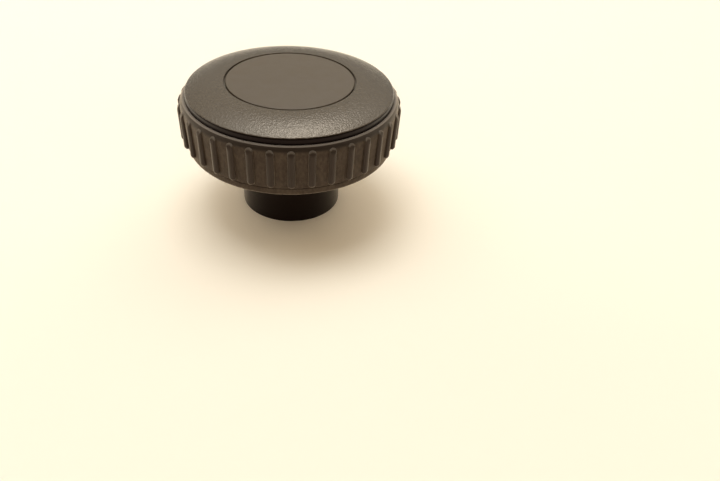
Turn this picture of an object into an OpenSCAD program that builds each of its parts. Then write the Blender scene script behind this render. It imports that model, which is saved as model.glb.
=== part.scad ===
// Knurled control knob: a moulded body with a soft ribbed rim, a flush centre cap and a
// threaded metal bush in its hub. Millimetres, +Z up, origin at the middle of the hub's end.

/* [Knob] */
// Diameter over the ribs of the grip, at their top ends
knob_d = 50; // [47:0.5:56]
// Height from the end of the hub to the top face
knob_h = 30.5; // [29.5:0.5:40]
// Diameter of the hub
hub_d = 23; // [21.5:0.5:25]
// Radius that breaks the edge of the hub's end
hub_edge = 0.15; // [0.1:0.05:0.6]
// Depth of the rim, from the top face down to its lower edge
rim_depth = 15.2; // [14.5:0.1:18]

/* [Top face] */
// Fall of the crowned face from its inner edge to the side of the flange
crown_drop = 1.9; // [1.2:0.1:2.4]
// Radius that rounds the edge of the flange
flange_round = 0.6; // [0.4:0.05:1.3]
// Height of the flange's side that the soft lip covers
flange_seat = 1.4; // [1:0.1:1.8]

/* [Soft grip] */
// Depth of the lip's crest below the top face
lip_drop = 3.2; // [2.9:0.1:3.8]
// Thickness of the lip beside the flange
lip_wall = 1.25; // [1:0.05:1.5]
// Radius of the lip's inner edge
lip_gap_round = 0.4; // [0.2:0.05:0.5]
// Width of the level crest between the lip's inner edge and its shoulder
crest_w = 0.15; // [0.05:0.05:0.3]
// Radius of the shoulder that falls from the crest to the wall
shoulder_round = 2; // [1.2:0.1:2.4]
// Thickness of the soft wall over the rim, at its top
grip_wall = 2.4; // [2:0.1:3]
// Taper of the soft wall, in degrees
wall_taper = 4; // [2:0.5:5]
// Width of the crease below the ribs
crease_w = 0.45; // [0.2:0.05:0.6]
// Depth of the crease behind the side of the bead
crease_d = 0.4; // [0.2:0.05:0.6]
// Height of the bead below the crease
bead_h = 1.6; // [1.5:0.1:2.4]
// How far the bead is set back from the wall above it
bead_step = 0.4; // [0.2:0.05:0.5]
// Radius of the bead's lower edge
bead_round = 1.3; // [0.6:0.1:1.4]

/* [Ribs] */
// Number of ribs round the grip
rib_n = 36; // [24:1:40]
// Width of a rib
rib_w = 1.6; // [1.2:0.1:1.9]
// How far a rib stands out of the wall at its top end
rib_h = 0.6; // [0.4:0.05:0.9]
// Taper of the line along the crowns of the ribs, in degrees
rib_taper = 2; // [0.5:0.5:3]
// How far the rounded crown of a rib falls to its sides
rib_arch = 0.45; // [0.2:0.05:0.55]
// Length over which the top end of a rib curves in to the shoulder
rib_fade = 1.3; // [1:0.1:1.6]
// Radius of that curve
rib_fade_round = 2.6; // [2.3:0.1:3]
// Angle at which the curve leaves the line of the crown, in degrees
rib_fade_angle = 12; // [8:1:16]
// Plain wall between the lip's crest and the ribs
rib_top_gap = 0.8; // [0.6:0.1:1.6]
// Plain wall between the ribs and the crease
rib_foot_gap = 0.3; // [0.2:0.1:1]

/* [Rim and webs] */
// Thickness of the rim inside the grip, at its lower edge
rim_wall = 2.3; // [1.8:0.1:2.8]
// Draft of the inner side of the rim, in degrees
rim_draft = 1.5; // [0.5:0.5:3]
// Thickness of the deck between the cap's seat and the pockets under it
deck_t = 2.7; // [2:0.1:3.2]
// Radius in the upper corners of the pockets
pocket_round = 1; // [0.5:0.1:1.5]
// Number of webs between the hub and the rim
web_n = 6; // [4:1:8]
// Thickness of a web
web_t = 1.8; // [1.4:0.1:2.6]
// How far the webs stop short of the rim's lower edge
web_drop = 2; // [1:0.5:4]
// Height of the ridge that keys the grip to the rim
key_w = 2.4; // [1.6:0.1:3.5]
// Depth of that ridge
key_d = 0.7; // [0.4:0.1:1]

/* [Centre cap] */
// Diameter of the cap
cap_d = 28.4; // [26:0.2:30]
// Thickness of the cap's disc
cap_t = 1.8; // [1.4:0.1:2.2]
// Radius of the cap's upper edge
cap_edge = 0.2; // [0.1:0.05:0.4]
// Clearance between the cap and its seat
cap_fit = 0.05; // [0.03:0.01:0.1]
// Width of the shadow groove round the cap
groove_w = 0.4; // [0.25:0.05:0.7]
// Depth of the shadow groove
groove_h = 0.5; // [0.3:0.05:0.8]
// Number of clip fingers under the cap
clip_n = 4; // [3:1:6]
// Diameter over the clip fingers
clip_d = 17; // [15:0.5:18]
// Thickness of a finger
clip_t = 1.2; // [1:0.1:1.6]
// Length of a finger below the disc
clip_l = 4.6; // [4:0.1:5]
// Gap between two fingers
clip_gap = 4; // [3:0.5:5]
// How far a finger's hook stands out
hook_d = 0.35; // [0.25:0.05:0.5]
// Height of the hook
hook_h = 1; // [0.8:0.1:1.4]
// Clearance of the fingers in their well
clip_fit = 0.15; // [0.1:0.05:0.25]
// Clearance under the fingers
well_gap = 0.5; // [0.3:0.1:1]

/* [Bush] */
// Diameter of the bush
bush_d = 15; // [13.5:0.5:16]
// Length of the bush
bush_l = 20; // [18.5:0.5:21]
// Nominal diameter of the thread
thread_d = 10; // [8:0.5:10.5]
// Pitch of the thread
thread_pitch = 1.5; // [1:0.25:1.75]
// Depth of the threaded wall below its chamfer
thread_l = 14; // [11:0.5:14.5]
// How far the chamfered mouth is wider than the thread, at each side
mouth_edge = 0.25; // [0.1:0.05:0.5]
// Point angle of the drilled end
drill_point = 118; // [90:2:140]
// Height of the plain collar at the bush's end
collar_h = 2.5; // [1.5:0.5:4]
// How far the collar is set back from the knurled bands
collar_d = 0.5; // [0.4:0.05:0.6]
// Number of teeth in each knurled band
knurl_n = 40; // [24:1:60]
// Depth of the knurl
knurl_depth = 0.3; // [0.2:0.05:0.35]
// Width of the neck between the knurled bands
neck_w = 2.5; // [1.5:0.5:4]
// Depth of the neck
neck_d = 0.9; // [0.7:0.1:1.2]
// Height of the plain end above the upper band
pilot_h = 0.6; // [0.4:0.1:1.5]

/* [Hidden] */
$fn = 96;

// What a cut runs past the face that it opens
past = 1;
// What a rib or a web runs into the wall that carries it
root = 0.4;
// Flat left between two rounded edges of one wall
flat_min = 0.05;
// Steps round the large circle that the crowned face is a short arc of
crown_steps = 360;

wall_r = knob_d / 2 - rib_h;
flange_r = wall_r - lip_wall;
rim_r = wall_r - grip_wall;
rim_in_r = rim_r - rim_wall;
hub_r = hub_d / 2;

rim_z = knob_h - rim_depth;
lip_z = knob_h - lip_drop;
step_z = lip_z - flange_seat;
seat_z = knob_h - cap_t;
pocket_top_z = seat_z - deck_t;

cap_r = cap_d / 2;
cap_seat_r = cap_r + cap_fit;
groove_r = cap_r + groove_w;

// The crowned face is an arc that leaves its inner edge level and falls crown_drop to the flange
crown_span = flange_r - groove_r;
crown_r = (crown_span ^ 2 + crown_drop ^ 2) / (2 * crown_drop);
crown_c = [groove_r, knob_h - crown_r];
// Middle of the rounded edge, which touches the crown's arc from inside and the flange's side
edge_x = flange_r - flange_round;
edge_c = [edge_x, crown_c[1] + sqrt((crown_r - flange_round) ^ 2 - (edge_x - groove_r) ^ 2)];
edge_a = atan2(edge_c[1] - crown_c[1], edge_c[0] - crown_c[0]);

// How far the shoulder's arc runs in from the wall before it meets the level crest
shoulder_w = lip_wall - lip_gap_round - crest_w;
shoulder_z = lip_z - sqrt(shoulder_round ^ 2 - (shoulder_round - shoulder_w) ^ 2);
crease_z = rim_z + bead_h;
crease_top_z = crease_z + crease_w;
function wall_at(z) = wall_r - tan(wall_taper) * (shoulder_z - z);
bead_r = wall_at(crease_z) - bead_step;
bead_edge = min(bead_round, bead_r - rim_r - flat_min);
key_z = (rim_z + step_z) / 2;

rib_top_z = lip_z - rib_top_gap;
rib_l = rib_top_z - crease_top_z - rib_foot_gap;
// Point where the crown's line reaches its full diameter, and middle of the curve above it
rib_peak = [knob_d / 2, rib_top_z - rib_fade];
rib_fade_c = rib_peak - rib_fade_round * [cos(rib_fade_angle), sin(rib_fade_angle)];
rib_crown = ((rib_w / 2) ^ 2 + rib_arch ^ 2) / (2 * rib_arch);
// A rib's foot starts inside the wall over its whole length
rib_foot = rib_h + (tan(wall_taper) - tan(rib_taper)) * rib_l + root;

clip_r = clip_d / 2;
clip_z = seat_z - clip_l;
well_r = clip_r + clip_fit;
well_z = clip_z - well_gap;
catch_r = well_r + hook_d;
catch_z = clip_z + hook_h + cap_fit;

bush_r = bush_d / 2;
drill_r = (thread_d - thread_pitch) / 2;
mouth_r = thread_d / 2 + mouth_edge;
mouth_h = mouth_r - drill_r;
drill_l = mouth_h + thread_l;
point_h = drill_r / tan(drill_point / 2);
band_h = (bush_l - collar_h - neck_w - pilot_h) / 2;

// Takes a sharp corner of a section down to a round of radius r about c, between two angles
module round_corner(c, r, from, to) {
    middle = (from + to) / 2;
    reach = 2 * r / cos((to - from) / 2);
    difference() {
        polygon([
            c,
            c + 2 * r * [cos(from), sin(from)],
            c + reach * [cos(middle), sin(middle)],
            c + 2 * r * [cos(to), sin(to)]
        ]);
        translate(c) circle(r);
    }
}

// Fills the upper inner corner of a pocket outside a round of radius r about c
module pocket_corner(c, r) {
    difference() {
        translate([c[0] - r, c[1]]) square(r);
        translate(c) circle(r);
    }
}

// Half section of the deck: level inside the groove, crowned out to the flange
module deck_section() {
    difference() {
        union() {
            translate([0, pocket_top_z]) square([groove_r, knob_h - pocket_top_z]);
            intersection() {
                translate([groove_r, step_z]) square([crown_span, knob_h - step_z]);
                translate(crown_c) circle(crown_r, $fn = crown_steps);
            }
        }
        round_corner(edge_c, flange_round, 0, edge_a);
    }
}

// Half section of one pocket between the hub and the rim
module pocket_section() {
    top_r = rim_in_r - tan(rim_draft) * (pocket_top_z - rim_z);
    low_r = rim_in_r + tan(rim_draft) * past;
    difference() {
        polygon([
            [hub_r, rim_z - past],
            [low_r, rim_z - past],
            [top_r, pocket_top_z],
            [hub_r, pocket_top_z]
        ]);
        pocket_corner([hub_r + pocket_round, pocket_top_z - pocket_round], pocket_round);
    }
}

// Half section of the body before its webs: hub, deck and rim
module body_section() {
    difference() {
        union() {
            square([hub_r, pocket_top_z + root]);
            deck_section();
            translate([hub_r - root, rim_z]) square([rim_r - hub_r + root, step_z - rim_z + root]);
        }
        pocket_section();
        round_corner([hub_r - hub_edge, hub_edge], hub_edge, -90, 0);
        // Seat of the cap, and the wider mouth that leaves the shadow groove
        translate([0, seat_z]) square([cap_seat_r, cap_t + past]);
        translate([0, knob_h - groove_h]) square([groove_r, groove_h + past]);
        // Well of the clip fingers, wider below the edge that the hooks catch on
        translate([0, well_z]) square([well_r, seat_z - well_z + past]);
        translate([0, well_z]) square([catch_r, catch_z - well_z]);
        // Groove that the grip's inner ridge fills
        translate([rim_r - key_d, key_z - key_w / 2]) square([key_d + past, key_w]);
    }
}

module webs() {
    reach = rim_in_r - hub_r + 2 * root;
    for (k = [0:web_n - 1])
        rotate([0, 0, 360 / web_n * k])
            translate([hub_r - root, -web_t / 2, rim_z + web_drop])
                cube([reach, web_t, pocket_top_z - rim_z - web_drop + root]);
}

// One moulding: hub, deck with its crowned face and flange, rim and webs
module body() {
    color([0.13, 0.11, 0.10])
        difference() {
            union() {
                rotate_extrude() body_section();
                webs();
            }
            bush_blank();
        }
}

// Half section of the soft ring: lip, tapered wall, crease and bead
module grip_section() {
    difference() {
        union() {
            polygon([
                [rim_r, crease_z],
                [wall_at(crease_z), crease_z],
                [wall_r, shoulder_z],
                [wall_r, lip_z],
                [flange_r, lip_z],
                [flange_r, step_z],
                [rim_r, step_z]
            ]);
            translate([rim_r, rim_z]) square([bead_r - rim_r, bead_h]);
            translate([rim_r - key_d, key_z - key_w / 2]) square([key_d + root, key_w]);
        }
        round_corner([wall_r - shoulder_round, shoulder_z], shoulder_round, 0, 90);
        round_corner([flange_r + lip_gap_round, lip_z - lip_gap_round], lip_gap_round, 90, 180);
        round_corner([bead_r - bead_edge, rim_z + bead_edge], bead_edge, -90, 0);
        translate([bead_r - crease_d, crease_z]) square([crease_d + bead_step + past, crease_w]);
    }
}

// Outline of a rib seen from the front: a bar with round ends, its top end at the origin
module rib_outline() {
    translate([-rib_w / 2, -rib_l + rib_w / 2]) square([rib_w, rib_l - rib_w]);
    for (z = [-rib_w / 2, -rib_l + rib_w / 2])
        translate([0, z]) circle(d = rib_w);
}

// One rib, with its crown line along -Z from the origin and its foot towards -X
module rib() {
    bar_l = rib_l - rib_w;
    intersection() {
        translate([-rib_foot, 0, 0]) rotate([90, 0, 90]) linear_extrude(rib_foot + root) rib_outline();
        translate([-rib_crown, 0, -rib_w / 2 - bar_l])
            rotate_extrude()
                intersection() {
                    union() {
                        square([rib_crown, bar_l]);
                        circle(rib_crown);
                        translate([0, bar_l]) circle(rib_crown);
                    }
                    translate([0, -rib_crown]) square([rib_crown, bar_l + 2 * rib_crown]);
                }
    }
}

// All ribs, with their top ends cut back to the curve that leads in to the shoulder
module ribs() {
    intersection() {
        for (k = [0:rib_n - 1])
            rotate([0, 0, 360 / rib_n * k - 90])
                translate([rib_peak[0], 0, rib_peak[1]])
                    rotate([0, rib_taper, 0])
                        translate([0, 0, rib_fade]) rib();
        rotate_extrude()
            difference() {
                translate([rim_r, rim_z]) square([knob_d / 2 + past - rim_r, lip_z - rim_z]);
                round_corner(rib_fade_c, rib_fade_round, 0, 90);
            }
    }
}

// Soft ring with its ribs, moulded over the rim
module grip_ring() {
    color([0.24, 0.19, 0.15])
        union() {
            rotate_extrude() grip_section();
            ribs();
        }
}

// Half section of the cap with a full ring of finger under its disc
module cap_section() {
    difference() {
        translate([0, seat_z]) square([cap_r, cap_t]);
        round_corner([cap_r - cap_edge, knob_h - cap_edge], cap_edge, 0, 90);
    }
    translate([clip_r - clip_t, clip_z]) square([clip_t, clip_l + root]);
    polygon([
        [clip_r - root, clip_z],
        [clip_r, clip_z],
        [clip_r + hook_d, clip_z + hook_d],
        [clip_r + hook_d, clip_z + hook_h],
        [clip_r - root, clip_z + hook_h]
    ]);
}

// Snap-in disc, with its ring of finger slotted into separate clips
module centre_cap() {
    color([0.15, 0.13, 0.12])
        difference() {
            rotate_extrude() cap_section();
            for (k = [0:clip_n - 1])
                rotate([0, 0, 360 / clip_n * (k + 0.5)])
                    translate([0, -clip_gap / 2, clip_z - past])
                        cube([clip_r + hook_d + past, clip_gap, clip_l + past]);
        }
}

// Toothed outline of a knurled band
module knurl_outline() {
    polygon([
        for (k = [0:2 * knurl_n - 1])
            let (r = k % 2 == 0 ? bush_r : bush_r - knurl_depth)
                r * [cos(180 / knurl_n * k), sin(180 / knurl_n * k)]
    ]);
}

// Outside of the bush: a plain core with a collar and two knurled bands on it
module bush_blank() {
    cylinder(r = bush_r - neck_d, h = bush_l);
    cylinder(r = bush_r - collar_d, h = collar_h);
    for (z = [collar_h, collar_h + band_h + neck_w])
        translate([0, 0, z]) linear_extrude(band_h) knurl_outline();
}

// Half section of the hole: chamfered mouth, threaded wall at its core diameter, drilled end
module hole_section() {
    polygon([
        [0, -past],
        [mouth_r + past, -past],
        [drill_r, mouth_h],
        [drill_r, drill_l],
        [0, drill_l + point_h]
    ]);
}

// Threaded bush
module bush() {
    color([0.75, 0.62, 0.36])
        difference() {
            bush_blank();
            rotate_extrude() hole_section();
        }
}

body();
grip_ring();
centre_cap();
bush();
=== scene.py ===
"""Looks of a ribbed control knob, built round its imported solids.

The knob is a black moulded body with a soft ribbed grip ring, a flush centre cap and a threaded
brass bush in its hub. Sizes are in millimetres, and each finished mesh is scaled to metres.
"""
import logging
import math
from dataclasses import dataclass
from enum import Enum
from typing import Sequence

import bmesh
import bpy
from mathutils import Matrix, Vector


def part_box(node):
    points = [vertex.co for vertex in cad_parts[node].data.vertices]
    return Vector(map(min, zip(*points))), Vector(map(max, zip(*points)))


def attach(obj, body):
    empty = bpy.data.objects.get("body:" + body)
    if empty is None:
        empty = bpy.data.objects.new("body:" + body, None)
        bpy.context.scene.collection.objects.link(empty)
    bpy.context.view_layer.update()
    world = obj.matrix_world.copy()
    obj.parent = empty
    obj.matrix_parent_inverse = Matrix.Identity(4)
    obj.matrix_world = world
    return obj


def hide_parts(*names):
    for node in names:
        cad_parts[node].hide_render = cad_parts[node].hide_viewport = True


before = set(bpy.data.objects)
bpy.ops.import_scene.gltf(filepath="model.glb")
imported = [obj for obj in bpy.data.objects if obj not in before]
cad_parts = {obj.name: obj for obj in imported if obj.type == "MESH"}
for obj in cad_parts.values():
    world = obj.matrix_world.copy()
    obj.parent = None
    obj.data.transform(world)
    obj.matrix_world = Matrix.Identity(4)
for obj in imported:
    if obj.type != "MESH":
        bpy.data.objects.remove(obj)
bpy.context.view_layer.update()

LOG = logging.getLogger("knob")

# Metres in a millimetre
MM = 0.001
# Faces round a turned piece
SEGMENTS = 360
# Chords in a rounded corner
ARC_STEPS = 8
# Most of a section's side that one rounded corner takes up
SIDE_SHARE = 0.49
# How far a rib or a web is sunk into its wall
ROOT = 0.4
# How far a cutter reaches past what it cuts
PAST = 1.0
# Distance within which points are one, in mm
MERGE = 1e-4
# How near a point is to a plane that it counts as on it, in mm
NEAR = 1e-6
# Share of its pitch that is flat at a thread's root, and the fall of its flank
ROOT_FLAT = 1 / 16
FLANK_SLOPE = math.tan(math.radians(60))
# Turns added to a thread's phase to keep it above zero
SPARE_TURNS = 100

Point = tuple[float, float]
Span = tuple[float, float]
Colour = tuple[float, float, float]
Value = float | int | Sequence[float] | bpy.types.NodeSocket | bpy.types.Material


class Join(Enum):
    """How one closed mesh is worked into another."""

    ADD = "UNION"
    CUT = "DIFFERENCE"


class Rays(Enum):
    """Kinds of ray that the table and the world tell apart, by their output on Light Path."""

    CAMERA = "Is Camera Ray"
    GLOSSY = "Is Glossy Ray"
    TRANSMISSION = "Is Transmission Ray"


@dataclass(frozen=True)
class Corner:
    """One corner of a section.

    Attributes:
        r: Distance from the knob's axis.
        z: Height above the end of the hub.
        round: Radius that breaks the corner.
    """

    r: float
    z: float
    round: float = 0.0


def arc(centre: Point, radius: float, start: float, end: float, steps: int) -> list[Corner]:
    """Make the corners of an arc.

    Args:
        centre: Middle of the arc.
        radius: Radius of the arc.
        start: Angle of its first corner, in radians from outwards.
        end: Angle of its last corner.
        steps: Number of chords.

    Returns:
        The corners, both ends included.
    """
    angles = [start + (end - start) * k / steps for k in range(steps + 1)]
    r, z = centre
    return [Corner(r + radius * math.cos(a), z + radius * math.sin(a)) for a in angles]


def rounded(corners: Sequence[Corner]) -> list[Point]:
    """Turn a closed row of corners into an outline with its corners rounded.

    Args:
        corners: The corners in order.

    Returns:
        The points of the closed outline.
    """
    points: list[Point] = []
    count = len(corners)
    for k, corner in enumerate(corners):
        here = Vector((corner.r, corner.z))
        if corner.round <= 0:
            points.append((here.x, here.y))
            continue
        last, following = corners[k - 1], corners[(k + 1) % count]
        before = Vector((last.r, last.z)) - here
        after = Vector((following.r, following.z)) - here
        half = before.angle(after) / 2
        most = SIDE_SHARE * min(before.length, after.length)
        run = min(corner.round / math.tan(half), most)
        radius = run * math.tan(half)
        start = here + before.normalized() * run
        end = here + after.normalized() * run
        inwards = (before.normalized() + after.normalized()).normalized()
        middle = here + inwards * radius / math.sin(half)
        spoke = start - middle
        sweep = spoke.angle_signed(end - middle)
        for step in range(ARC_STEPS + 1):
            there = middle + Matrix.Rotation(-sweep * step / ARC_STEPS, 2) @ spoke
            points.append((there.x, there.y))
    return points


class Graph:
    """Adds nodes to one tree and wires them."""

    def __init__(self, tree: bpy.types.NodeTree) -> None:
        """Start with an empty tree.

        Args:
            tree: The shader or geometry tree to fill.
        """
        self.tree = tree
        tree.nodes.clear()

    def add(self, kind: str, inputs: dict | None = None, **settings: object) -> bpy.types.Node:
        """Add a node.

        Args:
            kind: Blender's name of the node type.
            inputs: Values or sockets for its inputs, by name or number.
            **settings: Properties of the node.

        Returns:
            The new node.
        """
        node = self.tree.nodes.new(kind)
        for name, setting in settings.items():
            setattr(node, name, setting)
        for key, value in (inputs or {}).items():
            self.feed(node.inputs[key], value)
        return node

    def feed(self, socket: bpy.types.NodeSocket, value: Value) -> None:
        """Link a socket to another, or set it to a plain value.

        Args:
            socket: The input to fill.
            value: The output or plain value that it takes.
        """
        if isinstance(value, bpy.types.NodeSocket):
            self.tree.links.new(value, socket)
        else:
            socket.default_value = value

    def math(self, operation: str, *values: Value) -> bpy.types.NodeSocket:
        """Return the result of a Math node on one to three values."""
        return self.add("ShaderNodeMath", dict(enumerate(values)), operation=operation).outputs[0]

    def ramp(
        self, value: Value, start: float, end: float, low: float = 0.0, high: float = 1.0
    ) -> bpy.types.NodeSocket:
        """Return a smooth step from low to high as value goes from start to end."""
        inputs = {"Value": value, "From Min": start, "From Max": end, "To Min": low, "To Max": high}
        return self.add("ShaderNodeMapRange", inputs, interpolation_type="SMOOTHSTEP").outputs[0]

    def blend(self, share: Value, first: Value, second: Value) -> bpy.types.NodeSocket:
        """Return a number mixed from two."""
        inputs = {0: share, 2: first, 3: second}
        return self.add("ShaderNodeMix", inputs, data_type="FLOAT").outputs[0]

    def tint(self, share: Value, first: Value, second: Value) -> bpy.types.NodeSocket:
        """Return a colour mixed from two."""
        pair = [(*c, 1.0) if isinstance(c, tuple) else c for c in (first, second)]
        inputs = {0: share, 6: pair[0], 7: pair[1]}
        return self.add("ShaderNodeMix", inputs, data_type="RGBA").outputs[2]


class GeometryGraph(Graph):
    """A geometry tree with named inputs that ends in Realize Instances and Set Material."""

    def __init__(self, name: str, inputs: dict[str, str]) -> None:
        """Make the tree and its inputs.

        Args:
            name: Name of the tree.
            inputs: Socket type of each input, by name.
        """
        super().__init__(bpy.data.node_groups.new(name, "GeometryNodeTree"))
        interface = self.tree.interface
        interface.new_socket("Geometry", in_out="INPUT", socket_type="NodeSocketGeometry")
        for label, kind in inputs.items():
            interface.new_socket(label, in_out="INPUT", socket_type=kind)
        interface.new_socket("Finish", in_out="INPUT", socket_type="NodeSocketMaterial")
        interface.new_socket("Geometry", in_out="OUTPUT", socket_type="NodeSocketGeometry")
        self.given = self.add("NodeGroupInput").outputs

    def end(self, geometry: bpy.types.NodeSocket) -> bpy.types.NodeTree:
        """Close the tree.

        Args:
            geometry: What the tree has made.

        Returns:
            The finished tree.
        """
        real = self.add("GeometryNodeRealizeInstances", {"Geometry": geometry})
        inputs = {"Geometry": real.outputs[0], "Material": self.given["Finish"]}
        dressed = self.add("GeometryNodeSetMaterial", inputs)
        self.add("NodeGroupOutput", {"Geometry": dressed.outputs[0]})
        return self.tree

    def sheet(self, rows: Value, columns: Value) -> tuple[bpy.types.NodeSocket, ...]:
        """Add a grid and the row and column of each of its points.

        Args:
            rows: Number of points along the first side.
            columns: Number of points along the second side.

        Returns:
            The grid's mesh, the row field and the column field.
        """
        grid = self.add("GeometryNodeMeshGrid", {"Vertices X": rows, "Vertices Y": columns})
        index = self.add("GeometryNodeInputIndex").outputs[0]
        row = self.math("FLOOR", self.math("DIVIDE", index, columns))
        column = self.math("SUBTRACT", index, self.math("MULTIPLY", row, columns))
        return grid.outputs["Mesh"], row, column

    def placed(self, mesh: Value, position: Value) -> bpy.types.NodeSocket:
        """Put a grid's points in place and merge the ones that meet.

        Args:
            mesh: The grid.
            position: Where each point goes.

        Returns:
            The merged mesh.
        """
        moved = self.add("GeometryNodeSetPosition", {"Geometry": mesh, "Position": position})
        joined = {"Geometry": moved.outputs[0], "Distance": MERGE}
        return self.add("GeometryNodeMergeByDistance", joined).outputs[0]

    def swung(self, vector: Value, angle: Value) -> bpy.types.NodeSocket:
        """Return a vector turned round the Z axis."""
        inputs = {"Vector": vector, "Angle": angle}
        return self.add("ShaderNodeVectorRotate", inputs, rotation_type="Z_AXIS").outputs[0]


def revolve_tree() -> bpy.types.NodeTree:
    """Make the tree that turns a section in the XZ plane into a closed shell round the Z axis."""
    g = GeometryGraph("revolve", {"Corners": "NodeSocketInt", "Segments": "NodeSocketInt"})
    rows = g.math("ADD", g.given["Corners"], 1)
    columns = g.math("ADD", g.given["Segments"], 1)
    mesh, row, column = g.sheet(rows, columns)
    corner = g.math("MODULO", row, g.given["Corners"])
    spot = g.add("GeometryNodeInputPosition").outputs[0]
    sample = g.add(
        "GeometryNodeSampleIndex",
        {"Geometry": g.given["Geometry"], "Index": corner},
        data_type="FLOAT_VECTOR",
        domain="POINT",
    )
    g.tree.links.new(spot, next(s for s in sample.inputs if s.name == "Value" and s.enabled))
    profile = next(s for s in sample.outputs if s.enabled)
    angle = g.math("DIVIDE", g.math("MULTIPLY", column, math.tau), g.given["Segments"])
    return g.end(g.placed(mesh, g.swung(profile, angle)))


def pattern_tree() -> bpy.types.NodeTree:
    """Make the tree that repeats a piece evenly round the Z axis."""
    g = GeometryGraph("round_pattern", {"Count": "NodeSocketInt", "Turn": "NodeSocketFloat"})
    points = g.add("GeometryNodePoints", {"Count": g.given["Count"]})
    index = g.add("GeometryNodeInputIndex").outputs[0]
    step = g.math("DIVIDE", math.tau, g.given["Count"])
    angle = g.math("MULTIPLY_ADD", index, step, g.given["Turn"])
    euler = g.add("ShaderNodeCombineXYZ", {"Z": angle})
    rotation = g.add("FunctionNodeEulerToRotation", {"Euler": euler.outputs[0]})
    inputs = {
        "Points": points.outputs[0],
        "Instance": g.given["Geometry"],
        "Rotation": rotation.outputs[0],
    }
    return g.end(g.add("GeometryNodeInstanceOnPoints", inputs).outputs[0])


def thread_tree() -> bpy.types.NodeTree:
    """Make the tree that shapes a tube into a right-hand thread that fades out at its top."""
    names = ["Pitch", "Length", "Core", "Major", "Mouth", "Run Out"]
    sockets = {"Segments": "NodeSocketInt", "Steps": "NodeSocketInt"}
    g = GeometryGraph("thread", sockets | dict.fromkeys(names, "NodeSocketFloat"))
    rows = g.math("ADD", g.given["Steps"], 1)
    columns = g.math("ADD", g.given["Segments"], 1)
    mesh, row, column = g.sheet(rows, columns)
    pitch = g.given["Pitch"]
    core = g.given["Core"]
    height = g.math("MULTIPLY", g.math("DIVIDE", row, g.given["Steps"]), g.given["Length"])
    turn = g.math("DIVIDE", column, g.given["Segments"])
    phase = g.math("SUBTRACT", g.math("DIVIDE", height, pitch), turn)
    wave = g.math("SUBTRACT", g.math("FRACT", g.math("ADD", phase, SPARE_TURNS + 0.5)), 0.5)
    away = g.math("MULTIPLY", g.math("ABSOLUTE", wave), pitch)
    flank = g.math("SUBTRACT", away, g.math("MULTIPLY", pitch, ROOT_FLAT))
    groove = g.math("SUBTRACT", g.given["Major"], g.math("MULTIPLY", flank, FLANK_SLOPE))
    left = g.math("SUBTRACT", g.given["Length"], height)
    fade = g.math("ADD", core, g.math("DIVIDE", left, g.given["Run Out"]))
    groove = g.math("MINIMUM", g.math("MINIMUM", groove, g.given["Major"]), fade)
    mouth = g.math("SUBTRACT", g.given["Mouth"], height)
    radius = g.math("MAXIMUM", g.math("MAXIMUM", groove, core), mouth)
    spoke = g.add("ShaderNodeCombineXYZ", {"X": radius, "Z": height})
    angle = g.math("MULTIPLY", turn, math.tau)
    return g.end(g.placed(mesh, g.swung(spoke.outputs[0], angle)))


def block(low: Sequence[float], high: Sequence[float]) -> bmesh.types.BMesh:
    """Make a box.

    Args:
        low: Its lowest corner.
        high: Its highest corner.

    Returns:
        The box, which the caller frees.
    """
    work = bmesh.new()
    bmesh.ops.create_cube(work, size=1.0)
    for vertex in work.verts:
        vertex.co = [high[k] if vertex.co[k] > 0 else low[k] for k in range(3)]
    return work


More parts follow.
